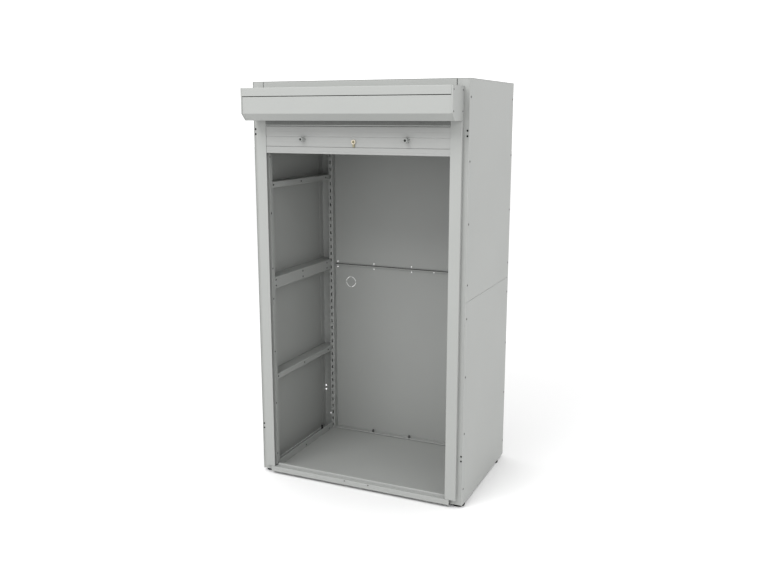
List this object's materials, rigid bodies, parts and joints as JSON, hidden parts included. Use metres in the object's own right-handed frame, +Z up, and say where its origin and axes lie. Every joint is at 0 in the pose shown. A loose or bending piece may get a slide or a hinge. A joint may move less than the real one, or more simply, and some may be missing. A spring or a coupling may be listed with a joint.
{
  "type": "battery cabinet",
  "caption": "Free-standing sheet-metal cabinet for batteries, open front closed by a roller shutter that slides down from a box above, on levelling feet.",
  "frame": {"origin": "on the floor, under the middle of the outline", "axes": "+Z up, -Y towards the open front and the shutter box, +X to the right of a person who stands in front"},
  "size_m": [1.11, 0.85, 2.014],
  "materials": {
    "cabinet_paint": "satin light grey powder coat",
    "shutter": "light grey coated aluminium slats",
    "brass": "plain brass",
    "zinc": "zinc plated",
    "foot": "matt black",
    "seal": "matt grey",
    "stopper": "satin grey"
  },
  "bodies": {
    "cabinet": {"back_panel_lower": "cabinet_paint", "back_panel_upper": "cabinet_paint", "balance_spring": "zinc", "base_rail_left": "cabinet_paint", "base_rail_right": "cabinet_paint", "box_end_left": "cabinet_paint", "box_end_right": "cabinet_paint", "box_front_cover": "cabinet_paint", "box_top_cover": "cabinet_paint", "curtain_top_section": "shutter", "floor_tray": "cabinet_paint", "foot_plate_left": "zinc", "foot_plate_right": "zinc", "front_lintel": "cabinet_paint", "front_post_left": "cabinet_paint", "front_post_right": "cabinet_paint", "front_rail": "cabinet_paint", "guide_rail_left": "cabinet_paint", "guide_rail_right": "cabinet_paint", "keeper_left": "zinc", "keeper_right": "zinc", "outlet_seal": "seal", "rear_post_left": "cabinet_paint", "rear_post_right": "cabinet_paint", "roof_panel": "cabinet_paint", "side_panel_lower_left": "cabinet_paint", "side_panel_lower_right": "cabinet_paint", "side_panel_upper_left": "cabinet_paint", "side_panel_upper_right": "cabinet_paint", "side_rail_low_left": "cabinet_paint", "side_rail_low_right": "cabinet_paint", "side_rail_mid_left": "cabinet_paint", "side_rail_mid_right": "cabinet_paint", "side_rail_top_left": "cabinet_paint", "side_rail_top_right": "cabinet_paint", "sill_bar": "cabinet_paint", "spring_shaft": "zinc"},
    "curtain": {"front_slats": "shutter", "bottom_bar": "shutter", "lock_body": "brass", "stopper_left": "stopper", "stopper_right": "stopper"},
    "section_1": {"curtain_section_1": "shutter"},
    "section_2": {"curtain_section_2": "shutter"},
    "section_3": {"curtain_section_3": "shutter"},
    "section_4": {"curtain_section_4": "shutter"},
    "section_5": {"curtain_section_5": "shutter"},
    "section_6": {"curtain_section_6": "shutter"},
    "lock": {"lock_plug": "brass"},
    "bolt_left": {"lock_bar_left": "zinc"},
    "bolt_right": {"lock_bar_right": "zinc"},
    "roller": {"roller_tube": "zinc", "tube_plug_left": "stopper", "tube_plug_right": "stopper"},
    "front_left_foot": {"foot_front_left": "foot"},
    "front_right_foot": {"foot_front_right": "foot"},
    "rear_left_foot": {"foot_rear_left": "foot"},
    "rear_right_foot": {"foot_rear_right": "foot"}
  },
  "joints": [
    {"name": "curtain_slide", "type": "slide", "parent": "cabinet", "child": "curtain", "axis": [0, 0, -1], "range_m": [-0.045, 1.633]},
    {"name": "section_1_slide", "type": "slide", "parent": "cabinet", "child": "section_1", "axis": [0, 0, -1], "range_m": [-0.045, 1.4709]},
    {"name": "section_2_slide", "type": "slide", "parent": "cabinet", "child": "section_2", "axis": [0, 0, -1], "range_m": [-0.045, 1.2274]},
    {"name": "section_3_slide", "type": "slide", "parent": "cabinet", "child": "section_3", "axis": [0, 0, -1], "range_m": [-0.045, 0.9839]},
    {"name": "section_4_slide", "type": "slide", "parent": "cabinet", "child": "section_4", "axis": [0, 0, -1], "range_m": [-0.045, 0.7404]},
    {"name": "section_5_slide", "type": "slide", "parent": "cabinet", "child": "section_5", "axis": [0, 0, -1], "range_m": [-0.045, 0.4969]},
    {"name": "section_6_slide", "type": "slide", "parent": "cabinet", "child": "section_6", "axis": [0, 0, -1], "range_m": [-0.045, 0.2534]},
    {"name": "roller_turn", "type": "hinge", "parent": "cabinet", "child": "roller", "pos_m": [0, -0.355, 1.906], "axis": [-1, 0, 0], "range_deg": [-60, 1900]},
    {"name": "bolt_left_slide", "type": "slide", "parent": "curtain", "child": "bolt_left", "axis": [-1, 0, 0], "range_m": [0, 0.0126]},
    {"name": "lock_turn", "type": "hinge", "parent": "curtain", "child": "lock", "pos_m": [0, -0.295, 1.733], "axis": [0, 1, 0], "range_deg": [0, 90]},
    {"name": "bolt_right_slide", "type": "slide", "parent": "curtain", "child": "bolt_right", "axis": [1, 0, 0], "range_m": [0, 0.0126]},
    {"name": "front_left_foot_adjust", "type": "slide", "parent": "cabinet", "child": "front_left_foot", "axis": [0, 0, -1], "range_m": [0, 0.02]},
    {"name": "front_right_foot_adjust", "type": "slide", "parent": "cabinet", "child": "front_right_foot", "axis": [0, 0, -1], "range_m": [0, 0.02]},
    {"name": "rear_left_foot_adjust", "type": "slide", "parent": "cabinet", "child": "rear_left_foot", "axis": [0, 0, -1], "range_m": [0, 0.02]},
    {"name": "rear_right_foot_adjust", "type": "slide", "parent": "cabinet", "child": "rear_right_foot", "axis": [0, 0, -1], "range_m": [0, 0.02]}
  ],
  "couplings": [
    {"joint": "section_1_slide", "follows": "curtain_slide", "ratio": 0.89951},
    {"joint": "section_2_slide", "follows": "curtain_slide", "ratio": 0.7504},
    {"joint": "section_3_slide", "follows": "curtain_slide", "ratio": 0.60129},
    {"joint": "section_4_slide", "follows": "curtain_slide", "ratio": 0.45217},
    {"joint": "section_5_slide", "follows": "curtain_slide", "ratio": 0.30306},
    {"joint": "section_6_slide", "follows": "curtain_slide", "ratio": 0.15395},
    {"joint": "roller_turn", "follows": "curtain_slide", "rad_per_m": 20},
    {"joint": "lock_turn", "follows": "bolt_left_slide", "rad_per_m": 124.6},
    {"joint": "bolt_right_slide", "follows": "bolt_left_slide", "ratio": 1}
  ]
}
